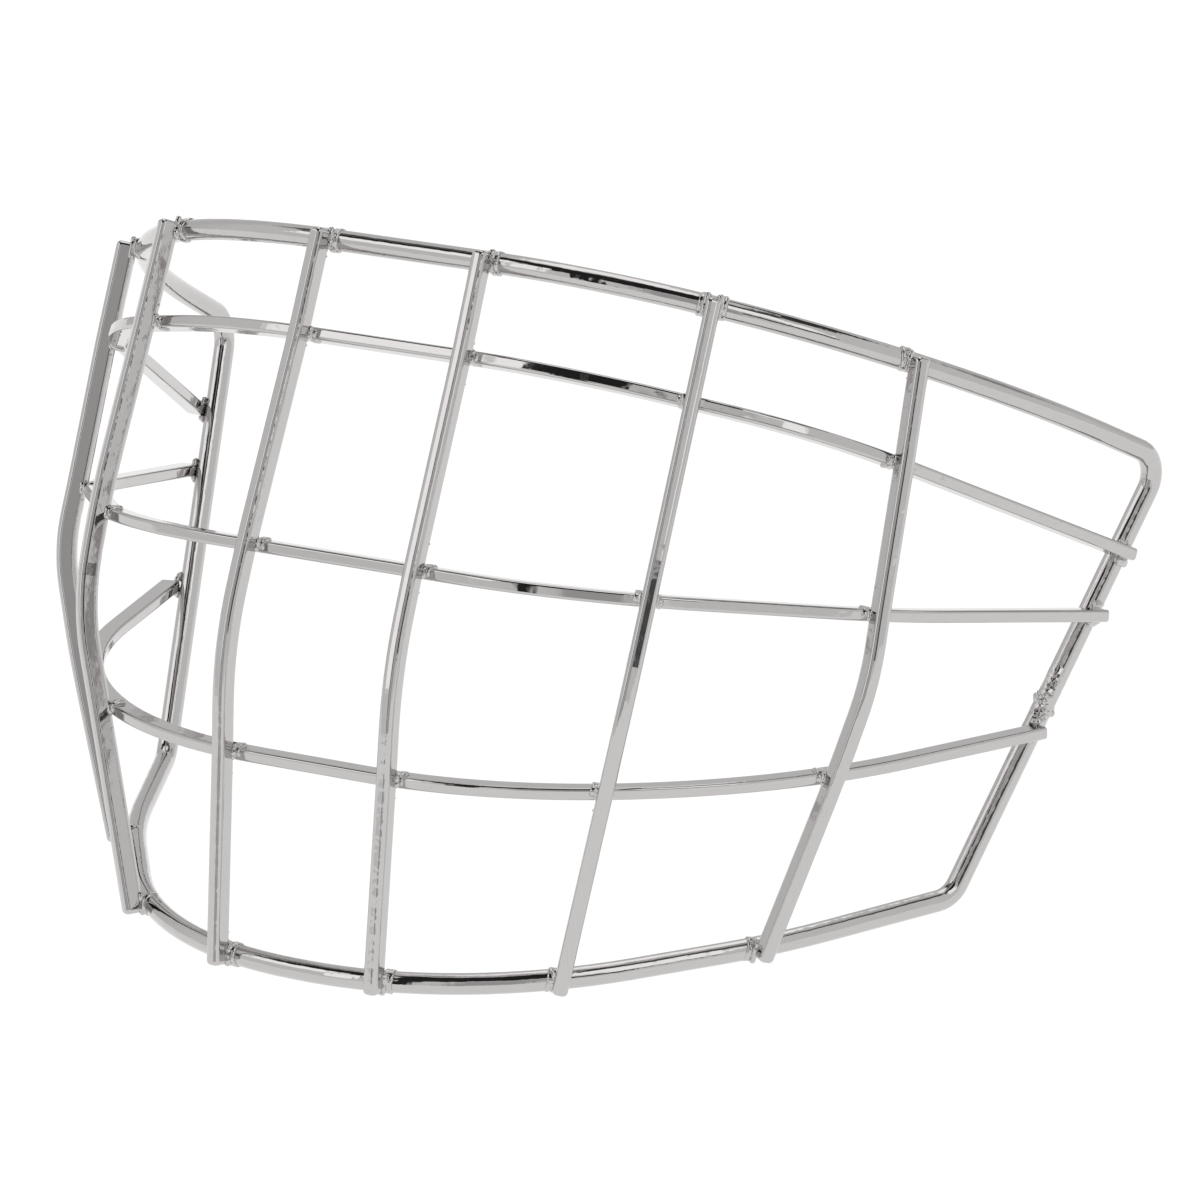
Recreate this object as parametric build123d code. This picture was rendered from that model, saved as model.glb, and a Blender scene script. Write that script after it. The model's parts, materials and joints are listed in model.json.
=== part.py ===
from build123d import *
import math
import os

# Face cage of a goalie mask, in millimetres.
#
# The cage is laid out in the wearer's frame: +Z up, the face looks towards -Y,
# and the plane X = 0 is the plane of symmetry. "left" is the wearer's left, +X.
# At the end the cage leans back until the chin run of its rim lies flat on Z = 0.

# ---- Stock ----
RIM_DIAMETER = 4.5
FACE_BAR_WIDTH = 3.3
FACE_BAR_DEPTH = 4.4
FACE_BAR_EDGE_RADIUS = 1.2
CROSS_BAR_HEIGHT = 2.6
CROSS_BAR_DEPTH = 4.4
CROSS_BAR_EDGE_RADIUS = 0.65
FACE_BAR_END_RADIUS = 1.0
CROSS_BAR_END_RADIUS = 0.5
WELD_SINK = 0.3          # how far two crossing wires are pressed into each other

# ---- Rows, from forehead to chin ----
# Each row is bent in one plane. It starts in the middle of the face, at front = (y, z),
# and its plane rises by tilt degrees towards the back. One half of the row is
# straight, bend, straight, bend, straight, and a bend is (radius, angle).
ROWS = {
    "forehead": dict(front=(-89.6, 64.8), tilt=-9.0, straights=(19.6, 0.8, 19.6),
                     bends=((93.0, 46.3), (115.0, 33.5))),
    "upper": dict(front=(-91.3, 44.8), tilt=-9.7, straights=(19.0, 11.6, 63.0),
                  bends=((98.5, 25.6), (53.5, 44.2))),
    "middle": dict(front=(-96.7, 0.2), tilt=7.6, straights=(30.0, 26.2, 45.2),
                   bends=((62.0, 47.6), (56.0, 26.7))),
    "lower": dict(front=(-93.9, -42.4), tilt=18.1, straights=(13.9, 0.4, 35.3),
                  bends=((85.5, 33.2), (101.0, 37.9))),
    "chin": dict(front=(-86.9, -84.4), tilt=24.0, straights=(1.8, 18.5, 29.2),
                 bends=((80.0, 50.0), (108.5, 12.6))),
}
CROSS_BAR_ROWS = ("upper", "middle", "lower")
RIM_CORNER_RADIUS = 6.5

# ---- Face bars, from the middle of the face outwards ----
# Each bar is bent in one plane, which meets the forehead rim and the chin rim at the
# stated distances from the middle and bulges towards bulge_angle from straight ahead.
# Between the middle and the lower row lies the cheek bend, (share of the way, rise, radius).
# overhang is how far the bar's upper and lower ends run past the rim's centreline.
FACE_BARS = {
    "inner": dict(at_forehead=20.0, at_chin=19.5, bulge_angle=6.0,
                  cheek=(0.5, 3.3, 80.0), overhang=(1.6, 2.1)),
    "middle": dict(at_forehead=66.8, at_chin=52.7, bulge_angle=35.5,
                   cheek=(0.51, 3.4, 60.0), overhang=(1.1, 1.8)),
    "outer": dict(at_forehead=97.5, at_chin=79.7, bulge_angle=64.6,
                  cheek=(0.38, 3.1, 42.0), overhang=(1.0, 0.7)),
}
SHALLOW_BEND = 250.0     # radius where a face bar turns slightly at a cross bar

# ---- Welds ----
BEAD_RADIUS = 1.35
BEAD_LENGTH = 2.0        # between the centres of the bead's two round ends
BEAD_STANDOFF = 0.4      # bead axis, beyond the side of the face bar
BEAD_LIFT = 0.3          # bead axis, above the wire that the bar lies on
END_WELD_RADIUS = 2.8
BUTT_WELD_RADIUS = 2.7
BUTT_WELD_SHARE = 0.56   # of the way down the left side of the rim
TWO_BEAD_SEATS = (("forehead", "middle"), ("middle", "middle"))

# ---- Stance ----
STANDING_LEAN = ROWS["chin"]["tilt"]     # lays the chin run of the rim flat on the floor


def rounded_run(points, radii):
    """Straight runs through the points, with an arc at each corner."""
    edges = []
    spot = points[0]
    for before, corner, after, radius in zip(points, points[1:], points[2:], radii):
        back = (before - corner).normalized()
        onward = (after - corner).normalized()
        half_angle = math.radians(back.get_angle(onward)) / 2
        reach = radius / math.tan(half_angle)
        to_arc = radius / math.sin(half_angle) - radius
        arc = ThreePointArc(
            corner + back * reach,
            corner + (back + onward).normalized() * to_arc,
            corner + onward * reach,
        )
        edges += [Line(spot, arc @ 0), arc]
        spot = arc @ 1
    return edges + [Line(spot, points[-1])]


def row_half(name):
    """Centreline of the left half of a row, from the middle of the face to its end."""
    row = ROWS[name]
    spot, heading = Vector(0, 0), Vector(1, 0)
    edges = []
    for straight, bend in zip(row["straights"], row["bends"] + (None,)):
        edges.append(Line(spot, spot + heading * straight))
        spot = edges[-1] @ 1
        if bend:
            edges.append(JernArc(spot, heading, *bend))
            spot, heading = edges[-1] @ 1, edges[-1] % 1
    y, z = row["front"]
    place = Pos(0, y, z) * Rot(X=row["tilt"])
    return [place * edge for edge in edges]


def both_halves(half):
    return half + mirror(half, Plane.YZ)


def side_run():
    """Ends of the straight side of the rim, as if its corners were sharp."""
    return row_half("forehead")[-1] @ 1, row_half("chin")[-1] @ 1


def rim_wire():
    """Round wire bent into one closed loop."""
    forehead, chin = row_half("forehead"), row_half("chin")
    corners = rounded_run([forehead[-1] @ 0, *side_run(), chin[-1] @ 0], [RIM_CORNER_RADIUS] * 2)
    path = Wire(forehead[:-1] + corners + chin[:-1])
    section = Plane(path @ 0, z_dir=path % 0) * Circle(RIM_DIAMETER / 2)
    return both_halves(sweep(section, path=path))


def rounded_ends(bar, ends, radius):
    """Round off the edges of the end faces that lie at the given points."""
    for end in ends:
        face = bar.faces().sort_by_distance(end)[0]
        bar = fillet(face.edges(), radius)
    return bar


def cross_bar(name):
    """Flat bar set on edge and bent along a row, from one side of the rim to the other."""
    path = Wire(row_half(name))
    across = Vector(0, 0, 1).rotate(Axis.X, ROWS[name]["tilt"])
    section = Plane(path @ 0, x_dir=across, z_dir=path % 0) * RectangleRounded(
        CROSS_BAR_HEIGHT, CROSS_BAR_DEPTH, CROSS_BAR_EDGE_RADIUS
    )
    half = rounded_ends(sweep(section, path=path), [path @ 1], CROSS_BAR_END_RADIUS)
    return both_halves(half)


def crossing(path, plane):
    """Point where a centreline passes through a plane, found by halving."""
    low, high = 0.0, 1.0
    side = math.copysign(1, (path @ low - plane.origin).dot(plane.z_dir))
    for _ in range(40):
        middle = (low + high) / 2
        if (path @ middle - plane.origin).dot(plane.z_dir) * side > 0:
            low = middle
        else:
            high = middle
    return path @ low


class FaceBarLayout:
    """Where one left face bar lies on each row, and which way is down, out and inboard there."""

    def __init__(self, bar):
        rows = {name: Wire(row_half(name)) for name in ROWS}
        top = crossing(rows["forehead"], Plane((bar["at_forehead"], 0, 0), z_dir=(1, 0, 0)))
        bottom = crossing(rows["chin"], Plane((bar["at_chin"], 0, 0), z_dir=(1, 0, 0)))
        bulge = Vector(0, -1, 0).rotate(Axis.Z, bar["bulge_angle"])
        self.inboard = bulge.cross(top - bottom).normalized()
        plane = Plane(top, z_dir=self.inboard)
        seats = [top, *[crossing(rows[name], plane) for name in CROSS_BAR_ROWS], bottom]
        downs = [
            (after - before).normalized()
            for before, after in zip([top] + seats[:-1], seats[1:] + [bottom])
        ]
        self.seats = dict(zip(ROWS, seats))
        self.down = dict(zip(ROWS, downs))
        self.outward = {name: self.inboard.cross(down) for name, down in self.down.items()}
        self.cheek = bar["cheek"]
        self.overhang = bar["overhang"]

    def surface(self, name):
        """Outermost point of the row's wire under the bar."""
        depth = CROSS_BAR_DEPTH if name in CROSS_BAR_ROWS else RIM_DIAMETER
        return self.seats[name] + self.outward[name] * (depth / 2)

    def route(self):
        """Centreline of the bar, from its upper end to its lower end."""
        lift = FACE_BAR_DEPTH / 2 - WELD_SINK
        forehead, upper, middle, lower, chin = [
            self.surface(name) + self.outward[name] * lift for name in ROWS
        ]
        share, rise, radius = self.cheek
        cheek = middle + (lower - middle) * share + self.outward["middle"] * rise
        above = forehead + (forehead - upper).normalized() * self.overhang[0]
        below = chin + (chin - lower).normalized() * self.overhang[1]
        corners = [above, upper, middle, cheek, lower, below]
        return Wire(rounded_run(corners, [SHALLOW_BEND, SHALLOW_BEND, radius, SHALLOW_BEND]))


def face_bar(layout):
    """Bar bent to lie on the outside of every row."""
    path = layout.route()
    section = Plane(path @ 0, x_dir=layout.inboard, z_dir=path % 0) * RectangleRounded(
        FACE_BAR_WIDTH, FACE_BAR_DEPTH, FACE_BAR_EDGE_RADIUS
    )
    return rounded_ends(sweep(section, path=path), [path @ 0, path @ 1], FACE_BAR_END_RADIUS)


def bead(layout, name, side):
    """Weld bead in the corner between a face bar and the wire under it.

    side is 1 for the inboard side of the bar and -1 for the outboard side.
    """
    reach = side * (FACE_BAR_WIDTH / 2 + BEAD_STANDOFF)
    centre = layout.surface(name) + layout.outward[name] * BEAD_LIFT + layout.inboard * reach
    capsule = Cylinder(BEAD_RADIUS, BEAD_LENGTH)
    for end in (-1, 1):
        capsule += Pos(Z=end * BEAD_LENGTH / 2) * Sphere(BEAD_RADIUS)
    return Plane(centre, z_dir=layout.down[name]) * capsule


def end_weld(name):
    """Weld around the spot where the end of a cross bar lies on the side of the rim."""
    top, bottom = side_run()
    last_run = row_half(name)[-1]
    start, heading = last_run @ 0, last_run % 0
    rise = Vector(0, 0, 1).rotate(Axis.X, ROWS[name]["tilt"])
    share = (start - top).dot(rise) / (bottom - top).dot(rise)
    on_rim = top + (bottom - top) * share
    on_bar = start + heading * (on_rim - start).dot(heading)
    contact = on_rim + (on_bar - on_rim).normalized() * (RIM_DIAMETER / 2)
    return Pos(contact) * Sphere(END_WELD_RADIUS)


def butt_weld():
    """Swollen band where the two ends of the rim's wire meet."""
    top, bottom = side_run()
    return Pos(top + (bottom - top) * BUTT_WELD_SHARE) * Sphere(BUTT_WELD_RADIUS)


def cut_by(body, *tools):
    for tool in tools:
        body -= tool
    return body


def build():
    """Every piece of the cage by name, in the wearer's frame."""
    rim = rim_wire()
    pieces = {"rim_wire": rim, "weld_rim_joint": butt_weld() - rim}
    rows = {"forehead": rim, "chin": rim}
    for name in CROSS_BAR_ROWS:
        rows[name] = cross_bar(name) - rim
        pieces[f"cross_bar_{name}"] = rows[name]
        weld = cut_by(end_weld(name), rim, rows[name])
        pieces[f"weld_{name}_left_end"] = weld
        pieces[f"weld_{name}_right_end"] = mirror(weld, Plane.YZ)
    for place, bar in FACE_BARS.items():
        layout = FaceBarLayout(bar)
        left = cut_by(face_bar(layout), rim, *[rows[name] for name in CROSS_BAR_ROWS])
        pieces[f"face_bar_left_{place}"] = left
        pieces[f"face_bar_right_{place}"] = mirror(left, Plane.YZ)
        for name in ROWS:
            inboard = cut_by(bead(layout, name, 1), left, rows[name])
            outboard = cut_by(bead(layout, name, -1), left, rows[name])
            pieces[f"weld_{name}_left_{place}"] = outboard if place == "inner" else inboard
            pieces[f"weld_{name}_right_{place}"] = mirror(inboard, Plane.YZ)
            if (name, place) in TWO_BEAD_SEATS:
                pieces[f"weld_{name}_left_{place}_outboard"] = outboard
    return pieces


def stand(pieces):
    """Lean the cage back and set it on Z = 0, with the middle of its box on the Z axis."""
    leaning = {name: Rot(X=-STANDING_LEAN) * piece for name, piece in pieces.items()}
    boxes = [piece.bounding_box() for piece in leaning.values()]
    front, back = min(box.min.Y for box in boxes), max(box.max.Y for box in boxes)
    shift = Pos(0, -(front + back) / 2, -min(box.min.Z for box in boxes))
    return {name: shift * piece for name, piece in leaning.items()}


os.makedirs("parts", exist_ok=True)
for node, piece in stand(build()).items():
    export_step(piece, f"parts/{node}.step")
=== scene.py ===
import json
import math
import random

import bmesh
import bpy
import numpy as np
from mathutils import Matrix, Vector, noise
from mathutils.bvhtree import BVHTree


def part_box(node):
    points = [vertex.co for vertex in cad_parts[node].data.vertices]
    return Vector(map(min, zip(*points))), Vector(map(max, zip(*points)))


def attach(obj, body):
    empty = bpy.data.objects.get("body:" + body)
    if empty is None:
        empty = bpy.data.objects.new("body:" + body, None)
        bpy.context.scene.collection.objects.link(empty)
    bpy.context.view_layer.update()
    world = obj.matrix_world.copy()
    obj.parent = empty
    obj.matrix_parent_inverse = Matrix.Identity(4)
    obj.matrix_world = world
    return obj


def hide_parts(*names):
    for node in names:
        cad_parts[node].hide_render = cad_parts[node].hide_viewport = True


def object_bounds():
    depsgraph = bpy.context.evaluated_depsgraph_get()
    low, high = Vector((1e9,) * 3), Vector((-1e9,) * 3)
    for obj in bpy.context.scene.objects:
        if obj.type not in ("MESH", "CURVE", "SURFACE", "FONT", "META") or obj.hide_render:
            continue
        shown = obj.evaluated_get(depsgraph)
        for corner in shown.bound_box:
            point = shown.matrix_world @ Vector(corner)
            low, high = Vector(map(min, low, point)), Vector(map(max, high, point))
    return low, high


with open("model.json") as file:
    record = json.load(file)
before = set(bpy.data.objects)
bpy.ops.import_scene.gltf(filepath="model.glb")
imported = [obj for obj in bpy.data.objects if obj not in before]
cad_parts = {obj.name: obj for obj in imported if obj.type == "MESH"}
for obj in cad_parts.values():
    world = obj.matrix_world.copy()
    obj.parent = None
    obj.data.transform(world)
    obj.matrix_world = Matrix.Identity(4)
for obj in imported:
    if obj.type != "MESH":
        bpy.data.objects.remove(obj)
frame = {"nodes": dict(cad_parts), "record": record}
cad_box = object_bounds()

# The cage stands leaning back. The studio is laid out around the cage held upright, as it is worn.
LEAN = math.radians(24.0)
MM = 0.001

# ---- Camera ----
CAMERA_TURN = math.radians(34.0)     # round from straight ahead, towards the wearer's left
CAMERA_ROLL = math.radians(9.3)
CAMERA_DISTANCE = 2.3
CAMERA_LENS = 325.8
AIM_SHARE = (0.5, 0.773, 0.3107)     # of the cage's box, from its lowest corner

# ---- Studio ----
# The chrome reflects a white tent with lamps, cloths and black gaps. Behind the cage there is only
# a plain bright backdrop, and the floor glows by itself, so neither of them shows a shadow.
# Angles are in degrees, seen from the cage: turn from the camera's axis, to the right, and height.
TENT_LIGHT = 1.05
PANELS = (
    # turn, height, half_turn, half_height, light, soft edge
    (180, 0, 60, 55, 0.85, 20),       # backdrop, further from the lamps
    (-13, -12, 13, 28, 0.62, 4),      # front of the tent, round the camera
    (-145, -32, 20, 15, 0.60, 8),     # stand
    (-79, 46, 15, 10, 0.03, 1.5),     # open gap under the roof, left to right
    (-59, 44, 8, 14, 0.03, 1.5),
    (-48, 39, 6, 23, 0.03, 1.5),
    (-40, 16, 4, 48, 0.03, 1.5),      # slit between two cloths
    (-31, 41, 6, 25, 0.03, 1.5),
    (-15, 44, 12, 24, 0.03, 1.5),
    (8, 56, 13, 9, 0.12, 2),
    (36, 66, 17, 8, 0.10, 2),
    (112, 73, 62, 7, 0.06, 2),
    (-106, 49, 13, 7, 0.12, 4),
    (108, 50, 20, 7, 0.45, 5),
    (-120, 76, 50, 15, 1.80, 2),      # roof lamps
    (-42, 81, 32, 11, 1.80, 2),
    (-75, 24, 11, 10, 1.80, 1.5),     # left lamp
    (-57, 8, 5, 19, 1.80, 1.5),
    (7, 33, 10, 14, 1.80, 1.5),       # right lamp
    (19, 22, 5, 14, 1.80, 1.5),
    (13, 3, 12, 6, 0.12, 1.5),        # its stand
    (24, -22, 12, 9, 1.45, 3),
)
BACKDROP_LIGHT = 1.05
FLOOR_GLOW = 1.0
FLOOR_COLOUR = 0.06              # nearly black: the glow alone makes the floor white
FLOOR_RADIUS = 12.0

# ---- Chrome ----
CHROME_COLOUR = (0.565, 0.55, 0.545)
WELD_COLOUR = (0.56, 0.545, 0.535)
# Noise: how many blotches to the metre, and how much fine detail.
MARKS = (1.0, 3.0)               # its place is already stretched along the grain
WAVES = (330.0, 1.5)
PATCHES = (90.0, 4.0)
PITS = (750.0, 1.0)

# ---- Welds, in millimetres ----
GROUND_RADIUS = 9.0
VOXEL = 0.14
RIM_WRAP = (2.0, 2.0)            # of a collar's rings: how far out, and how far up and down
CROSS_BAR_WRAP = (2.0, 0.95)
RING_OFFSETS = (-0.85, -0.2, 0.45)   # along the wire, from the middle of the collar
RING_RADIUS = (0.6, 0.66)
BACK_RADIUS = (0.6, 0.8)         # of the lumps between a collar and its bar
SPATTER_COUNTS = (0, 1, 1, 2)
SPATTER_REACH = (2.6, 6.0)
SPATTER_RADIUS = (0.2, 0.34)
CROSS_BAR_HALF_HEIGHT = 1.3
END_ROWS = ((0.25, 0.75), (0.95, 0.55))   # how far off the bar's edge, and how large
JOINT_LUMPS = 110
JOINT_RING = 1.75
JOINT_HALF_LENGTH = 2.4
JOINT_RADIUS = (0.5, 0.78)
SWELL = 0.07


# ---- Nodes ----
def node(tree, kind, inputs=(), **settings):
    """A new node with its settings and inputs filled in. An input is a value or a socket."""
    new = tree.nodes.new(kind)
    for name, value in settings.items():
        setattr(new, name, value)
    for socket, value in dict(inputs).items():
        if isinstance(value, bpy.types.NodeSocket):
            tree.links.new(value, new.inputs[socket])
        else:
            new.inputs[socket].default_value = value
    return new


def calculate(tree, operation, *values):
    """Result of a math node."""
    return node(tree, "ShaderNodeMath", dict(enumerate(values)), operation=operation).outputs[0]


def ramp(tree, value, low, high, at_low, at_high, shape="SMOOTHSTEP"):
    """A value carried over from low..high to at_low..at_high."""
    inputs = {"Value": value, "From Min": low, "From Max": high, "To Min": at_low, "To Max": at_high}
    return node(tree, "ShaderNodeMapRange", inputs, interpolation_type=shape).outputs["Result"]


def speckle(tree, place, scale, detail):
    inputs = {"Vector": place, "Scale": scale, "Detail": detail}
    return node(tree, "ShaderNodeTexNoise", inputs).outputs["Fac"]


def bump(tree, strength, depth, height, normal=None):
    """Normal tilted by a height map that is depth millimetres deep."""
    inputs = {"Strength": strength, "Distance": depth * MM, "Height": height}
    if normal is not None:
        inputs["Normal"] = normal
    return node(tree, "ShaderNodeBump", inputs).outputs["Normal"]


# ---- Studio light ----
def panel_mask(tree, turn, height, panel):
    """1 inside a panel, 0 outside it, with a soft edge between."""
    centre_turn, centre_height, half_turn, half_height, _, soft = panel
    masks = []
    for angle, centre, half in ((turn, centre_turn, half_turn), (height, centre_height, half_height)):
        away = calculate(tree, "ABSOLUTE", calculate(tree, "SUBTRACT", angle, centre))
        away = calculate(tree, "MINIMUM", away, calculate(tree, "SUBTRACT", 360.0, away))
        masks.append(ramp(tree, away, half - soft, half + soft, 1.0, 0.0))
    return calculate(tree, "MULTIPLY", *masks)


def studio():
    """A tent with lamps and black gaps, which only reflections see, and a plain backdrop."""
    world = bpy.data.worlds.new("studio")
    bpy.context.scene.world = world
    world.use_nodes = True
    tree = world.node_tree
    tree.nodes.clear()
    direction = node(tree, "ShaderNodeTexCoord").outputs["Generated"]
    level = node(tree, "ShaderNodeMapping", {"Vector": direction, "Rotation": (LEAN, 0, -CAMERA_TURN)})
    parts = node(tree, "ShaderNodeSeparateXYZ", {"Vector": level.outputs["Vector"]})
    towards = calculate(tree, "MULTIPLY", parts.outputs["Y"], -1.0)
    turn = calculate(tree, "DEGREES", calculate(tree, "ARCTAN2", parts.outputs["X"], towards))
    height = calculate(tree, "DEGREES", calculate(tree, "ARCSINE", parts.outputs["Z"]))
    light = TENT_LIGHT
    for panel in PANELS:
        mask = panel_mask(tree, turn, height, panel)
        light = ramp(tree, mask, 0.0, 1.0, light, panel[4], "LINEAR")
    tent = node(tree, "ShaderNodeBackground", {"Strength": light})
    backdrop = node(tree, "ShaderNodeBackground", {"Strength": BACKDROP_LIGHT})
    seen = node(tree, "ShaderNodeLightPath").outputs["Is Camera Ray"]
    shown = node(tree, "ShaderNodeMixShader", {0: seen, 1: tent.outputs[0], 2: backdrop.outputs[0]})
    node(tree, "ShaderNodeOutputWorld", {"Surface": shown.outputs[0]})


def floor():
    """A floor that glows white under the cage, and shows no shadow and no edge."""
    bpy.ops.mesh.primitive_circle_add(vertices=96, radius=FLOOR_RADIUS, fill_type="NGON")
    ground = bpy.context.object
    ground.name = "floor"
    material = bpy.data.materials.new("floor_paper")
    material.use_nodes = True
    paper = material.node_tree.nodes["Principled BSDF"]
    paper.inputs["Base Color"].default_value = (FLOOR_COLOUR, FLOOR_COLOUR, FLOOR_COLOUR, 1)
    paper.inputs["Roughness"].default_value = 0.9
    paper.inputs["Specular IOR Level"].default_value = 0.0
    paper.inputs["Emission Color"].default_value = (1, 1, 1, 1)
    paper.inputs["Emission Strength"].default_value = FLOOR_GLOW
    ground.data.materials.append(material)


def camera():
    low, high = (np.array(corner) for corner in cad_box)
    aim = Vector(low + (high - low) * np.array(AIM_SHARE))
    turned = (
        Matrix.Rotation(-LEAN, 4, "X")
        @ Matrix.Rotation(CAMERA_TURN, 4, "Z")
        @ Matrix.Rotation(math.pi / 2, 4, "X")
        @ Matrix.Rotation(CAMERA_ROLL, 4, "Z")
    )
    back = turned.to_3x3() @ Vector((0, 0, 1))
    data = bpy.data.cameras.new("camera")
    data.lens = CAMERA_LENS
    data.sensor_width = 36.0
    data.clip_end = 100.0
    view = bpy.data.objects.new("camera", data)
    view.matrix_world = Matrix.Translation(aim + back * CAMERA_DISTANCE) @ turned
    bpy.context.scene.collection.objects.link(view)
    bpy.context.scene.camera = view
    bpy.context.scene.view_settings.view_transform = "Standard"


# ---- Materials ----
def chrome(name, colour, grain, polish=(0.02, 0.07), dents=0.12, ground=None):
    """Bright plate: faint drawing marks along grain, soft waviness, and a patchy polish.

    grain is the size in millimetres of the drawing marks along X, Y and Z. ground is the
    middle and the radius in millimetres of a patch that was roughly ground before plating.
    """
    material = bpy.data.materials.new(name)
    material.use_nodes = True
    tree = material.node_tree
    shader = tree.nodes["Principled BSDF"]
    place = node(tree, "ShaderNodeTexCoord").outputs["Object"]
    scale = tuple(1 / (size * MM) for size in grain)
    drawn = node(tree, "ShaderNodeMapping", {"Vector": place, "Scale": scale}).outputs["Vector"]
    marks = speckle(tree, drawn, *MARKS)
    darker = tuple(channel * 0.9 for channel in colour)
    tones = {"Factor": marks, "A": (*darker, 1), "B": (*colour, 1)}
    tone = node(tree, "ShaderNodeMix", tones, data_type="RGBA")
    tree.links.new(tone.outputs["Result"], shader.inputs["Base Color"])
    roughness = ramp(tree, speckle(tree, place, *PATCHES), 0.3, 0.7, *polish)
    tree.links.new(roughness, shader.inputs["Roughness"])
    wavy = bump(tree, dents, 0.5, speckle(tree, place, *WAVES))
    normal = bump(tree, 0.05, 0.1, marks, wavy)
    if ground:
        centre, radius = ground
        ends = {0: place, 1: centre}
        away = node(tree, "ShaderNodeVectorMath", ends, operation="DISTANCE").outputs["Value"]
        inside = ramp(tree, away, radius * 0.7 * MM, radius * MM, 1.0, 0.0)
        pits = calculate(tree, "MULTIPLY", inside, speckle(tree, place, *PITS))
        normal = bump(tree, 0.8, 0.4, pits, normal)
    tree.links.new(normal, shader.inputs["Normal"])
    shader.inputs["Metallic"].default_value = 1.0
    return material


def dress(name, material):
    frame["nodes"][name].data.materials.clear()
    frame["nodes"][name].data.materials.append(material)


# ---- Welds ----
def surface_of(name):
    """Nearest-point search over a CAD node."""
    mesh = frame["nodes"][name].data
    corners = [vertex.co.copy() for vertex in mesh.vertices]
    return BVHTree.FromPolygons(corners, [tuple(face.vertices) for face in mesh.polygons])


def middle_of(name):
    low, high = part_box(name)
    return (low + high) / 2


def long_axis(name):
    """Direction in which a node's vertices are spread the most."""
    points = np.array([vertex.co for vertex in frame["nodes"][name].data.vertices])
    spread = np.cov((points - points.mean(0)).T)
    return Vector(np.linalg.eigh(spread)[1][:, -1])


def collar(name, wire, bar, wrap, chance):
    """Rings of weld metal that wrap the wire right beside the face bar."""
    centre, length = middle_of(name), long_axis(name)
    touch, out = wire.find_nearest(centre)[:2]
    beside = length.cross(out).normalized()
    if beside.dot(centre - bar.find_nearest(centre)[0]) < 0:
        beside.negate()
    along = (wire.find_nearest(centre + beside * 4 * MM)[0] - touch).normalized()
    down = along.cross(out)
    core = touch - out * wrap[0] * MM
    lumps = []
    for offset in RING_OFFSETS:
        lean = chance.uniform(-0.2, 0.2)
        for degrees in range(-100, 101, 10):
            angle = math.radians(degrees)
            spot = out * wrap[0] * math.cos(angle) + down * wrap[1] * math.sin(angle)
            spot += along * (offset + lean * math.sin(angle) + chance.uniform(-0.03, 0.03))
            lumps.append((core + spot * MM, chance.uniform(*RING_RADIUS)))
    for step in range(-3, 4):
        spot = centre - beside * 0.6 * MM + length * step * wrap[1] * 0.3 * MM
        lumps.append((spot, chance.uniform(*BACK_RADIUS)))
    for _ in range(chance.choice(SPATTER_COUNTS)):
        drop = length * chance.choice((-1, 1)) * chance.uniform(*SPATTER_REACH) - beside
        lumps.append((bar.find_nearest(centre + drop * MM)[0], chance.uniform(*SPATTER_RADIUS)))
    return lumps


def end_lumps(name, rim, bar, chance):
    """Lumps above and below the end of a cross bar, where it lies on the side of the rim."""
    touch, out = rim.find_nearest(middle_of(name))[:2]
    up, front = Vector((0, 0, 8 * MM)), Vector((0, -12 * MM, 0))
    side = (rim.find_nearest(touch + up)[0] - rim.find_nearest(touch - up)[0]).normalized()
    along = (bar.find_nearest(touch + front)[0] - bar.find_nearest(touch)[0]).normalized()
    lumps = []
    for way in (-1, 1):
        for row, size in END_ROWS:
            for step in range(-3, 4):
                spot = side * way * (CROSS_BAR_HALF_HEIGHT + row + chance.uniform(-0.15, 0.25))
                spot += along * (step * 0.52 + chance.uniform(-0.15, 0.15))
                spot += out * (0.25 - row * 0.3 - abs(step) * 0.14 + chance.uniform(-0.15, 0.15))
                lumps.append((touch + spot * MM, size * chance.uniform(0.75, 1.15)))
    return lumps


def joint_lumps(name, rim, chance):
    """Rough, half-ground lumps round the wire where its two ends meet."""
    centre = middle_of(name)
    up = Vector((0, 0, 6 * MM))
    side = (rim.find_nearest(centre + up)[0] - rim.find_nearest(centre - up)[0]).normalized()
    first = side.orthogonal().normalized()
    second = side.cross(first)
    lumps = []
    for _ in range(JOINT_LUMPS):
        angle = chance.uniform(0, 2 * math.pi)
        spot = (first * math.cos(angle) + second * math.sin(angle)) * JOINT_RING
        spot += side * chance.triangular(-JOINT_HALF_LENGTH, JOINT_HALF_LENGTH, 0)
        lumps.append((centre + spot * MM, chance.uniform(*JOINT_RADIUS)))
    return lumps


def unit_ball():
    """Corners and triangles of a round ball of radius 1."""
    shape = bmesh.new()
    bmesh.ops.create_icosphere(shape, subdivisions=2, radius=1.0)
    corners = np.array([vertex.co for vertex in shape.verts])
    triangles = np.array([[vertex.index for vertex in face.verts] for face in shape.faces])
    shape.free()
    return corners, triangles


def lump_object(name, lumps, ball):
    """Object whose modifiers draw one closed skin over round lumps."""
    corners, triangles = ball
    spots = [np.array(centre) + corners * (radius * MM) for centre, radius in lumps]
    faces = [triangles + len(corners) * index for index in range(len(lumps))]
    rough = bpy.data.meshes.new(name)
    rough.from_pydata(np.concatenate(spots).tolist(), [], np.concatenate(faces).tolist())
    piece = bpy.data.objects.new(name, rough)
    bpy.context.scene.collection.objects.link(piece)
    skin = piece.modifiers.new("skin", "REMESH")
    skin.mode = "VOXEL"
    skin.voxel_size = VOXEL * MM
    skin.use_smooth_shade = True
    relax = piece.modifiers.new("relax", "SMOOTH")
    relax.factor = 0.5
    relax.iterations = 4
    return piece


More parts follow.
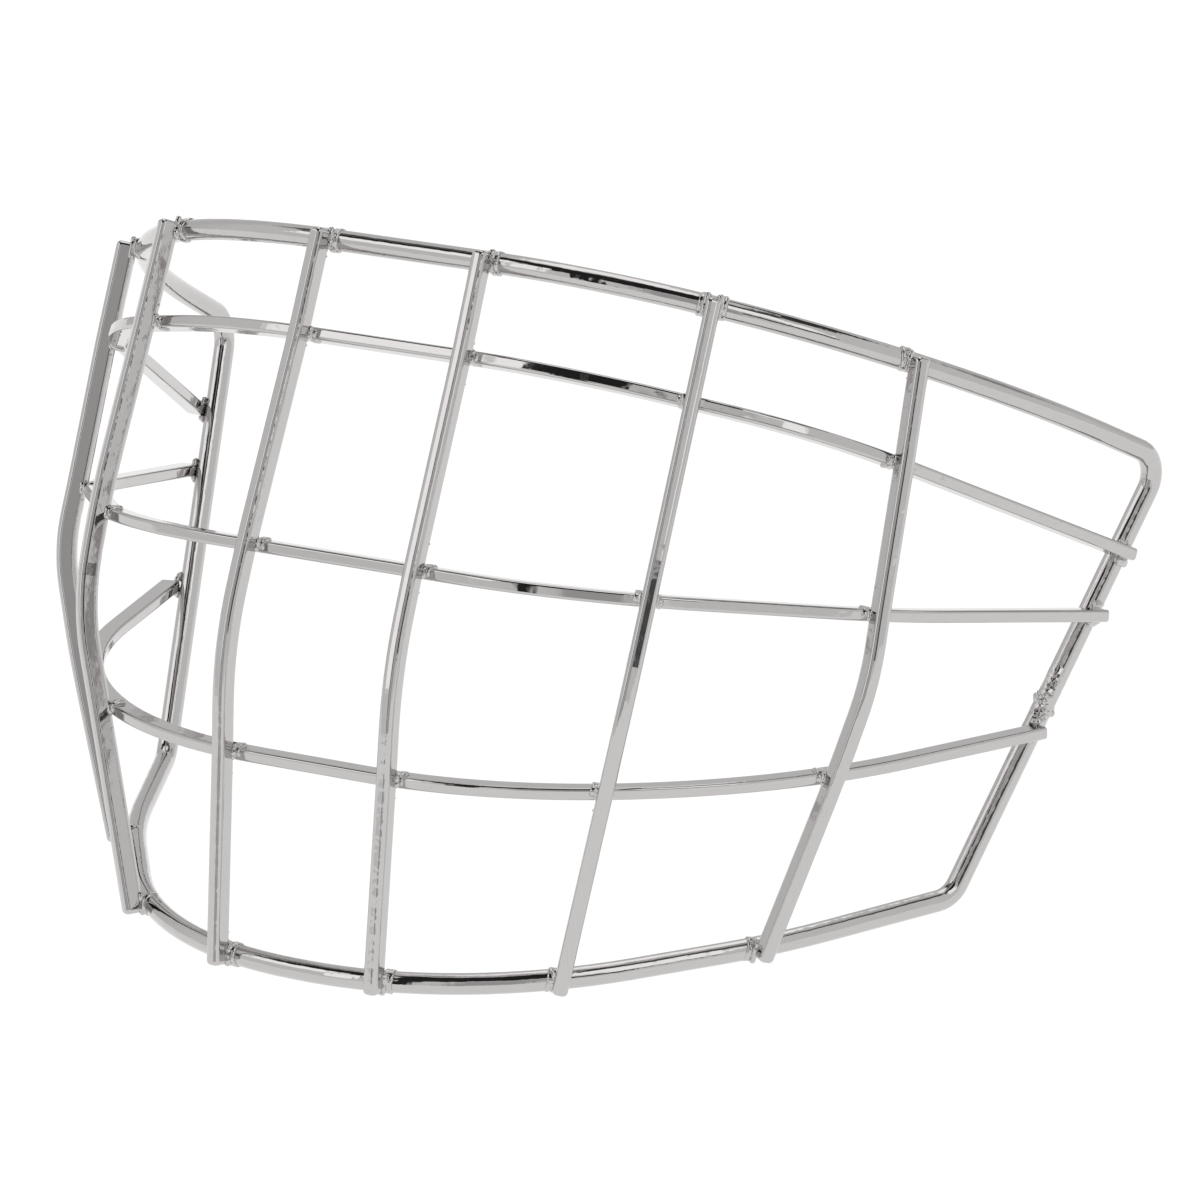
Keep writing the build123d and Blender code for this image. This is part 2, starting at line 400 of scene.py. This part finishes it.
def roughen(mesh, seed):
    """Small swellings all over a weld, which ends flat where it meets the floor."""
    normals = [vertex.normal.copy() for vertex in mesh.vertices]
    for vertex, normal in zip(mesh.vertices, normals):
        lump = noise.noise(vertex.co / MM * 1.3 + Vector((0, seed, 0)))
        vertex.co += normal * (SWELL * lump * MM)
        vertex.co.z = max(vertex.co.z, 0.0)


def weld_lumps(name, surfaces):
    """Round lumps, each (centre, radius in millimetres), that make up one weld."""
    chance = random.Random(name)
    words = name.split("_")
    if name == "weld_rim_joint":
        return joint_lumps(name, surfaces["rim_wire"], chance)
    if words[-1] == "end":
        return end_lumps(name, surfaces["rim_wire"], surfaces[f"cross_bar_{words[1]}"], chance)
    bar = surfaces[f"face_bar_{words[2]}_{words[3]}"]
    if words[1] in ("forehead", "chin"):
        return collar(name, surfaces["rim_wire"], bar, RIM_WRAP, chance)
    return collar(name, surfaces[f"cross_bar_{words[1]}"], bar, CROSS_BAR_WRAP, chance)


def welds(materials):
    surfaces = {name: surface_of(name) for name in frame["nodes"] if not name.startswith("weld_")}
    slots = {part["node"]: part["material_slot"] for part in frame["record"]["subparts"]}
    names = [name for name in frame["nodes"] if name.startswith("weld_")]
    ball = unit_ball()
    pieces = [lump_object(f"{name}_bead", weld_lumps(name, surfaces), ball) for name in names]
    drawn = bpy.context.evaluated_depsgraph_get()
    skins = [bpy.data.meshes.new_from_object(piece.evaluated_get(drawn)) for piece in pieces]
    for seed, (name, piece, skin) in enumerate(zip(names, pieces, skins)):
        piece.modifiers.clear()
        piece.data = skin
        roughen(skin, seed)
        skin.materials.clear()
        skin.materials.append(materials[slots[name]])
        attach(piece, "root")
        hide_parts(name)


def bars():
    face = chrome("face_bar_chrome", CHROME_COLOUR, grain=(0.35, 0.35, 9.0))
    cross = chrome("cross_bar_chrome", CHROME_COLOUR, grain=(4.0, 4.0, 0.35))
    ground = (middle_of("weld_rim_joint"), GROUND_RADIUS)
    rim = chrome("rim_chrome", CHROME_COLOUR, grain=(4.0, 4.0, 0.4), dents=0.18, ground=ground)
    for name in frame["nodes"]:
        if name.startswith("face_bar"):
            dress(name, face)
        elif name.startswith("cross_bar"):
            dress(name, cross)
    dress("rim_wire", rim)


studio()
floor()
camera()
bars()
welds(
    {
        "weld_chrome": chrome("weld_chrome", WELD_COLOUR, grain=(0.5, 0.5, 0.5), dents=0.15),
        "ground_weld": chrome("ground_weld", WELD_COLOUR, grain=(0.6, 0.6, 0.6), dents=0.2),
    }
)
